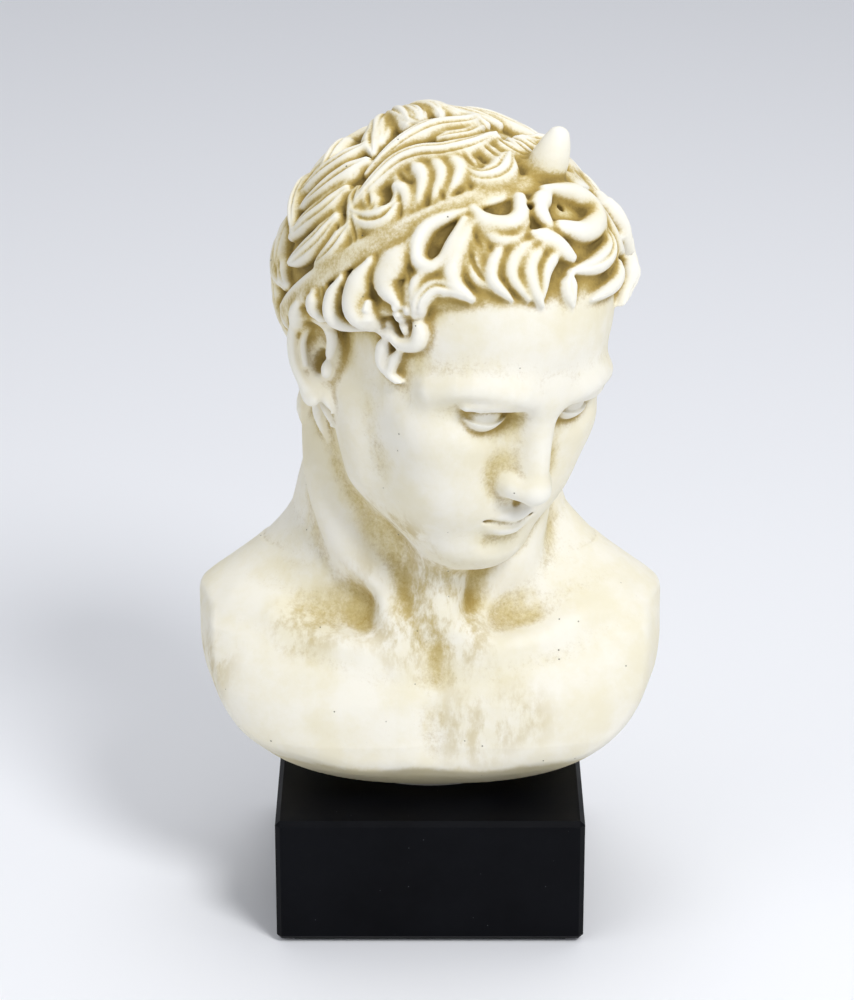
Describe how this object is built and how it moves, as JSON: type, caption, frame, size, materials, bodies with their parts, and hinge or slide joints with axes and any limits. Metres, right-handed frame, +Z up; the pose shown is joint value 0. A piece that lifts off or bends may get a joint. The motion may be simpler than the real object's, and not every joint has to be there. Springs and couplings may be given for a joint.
{
  "type": "portrait bust",
  "caption": "Classical portrait bust with curly filleted hair, cast in ivory marble composite and bolted to a square black stone block.",
  "frame": {"origin": "on the table, under the centre of the square block, in the plane of the felt's underside", "axes": "+Z up; -Y out of the sitter's chest, the front of the block; +X to the sitter's left"},
  "size_m": [0.156, 0.1223, 0.2709],
  "materials": {
    "marble_composite": "matt ivory cast marble with ochre patina in the hollows",
    "black_stone": "honed near-black stone with fine pale specks",
    "setting_plaster": "matt grey setting plaster",
    "felt": "dark green pressed felt",
    "zinc_steel": "zinc-plated steel"
  },
  "bodies": {
    "root": {"bust_casting": "marble_composite", "core_plug": "setting_plaster", "setting_bed": "setting_plaster", "base_block": "black_stone", "base_felt": "felt", "mounting_stud": "zinc_steel", "anchor_nut": "zinc_steel", "stud_nut": "zinc_steel", "stud_washer": "zinc_steel"}
  },
  "joints": []
}
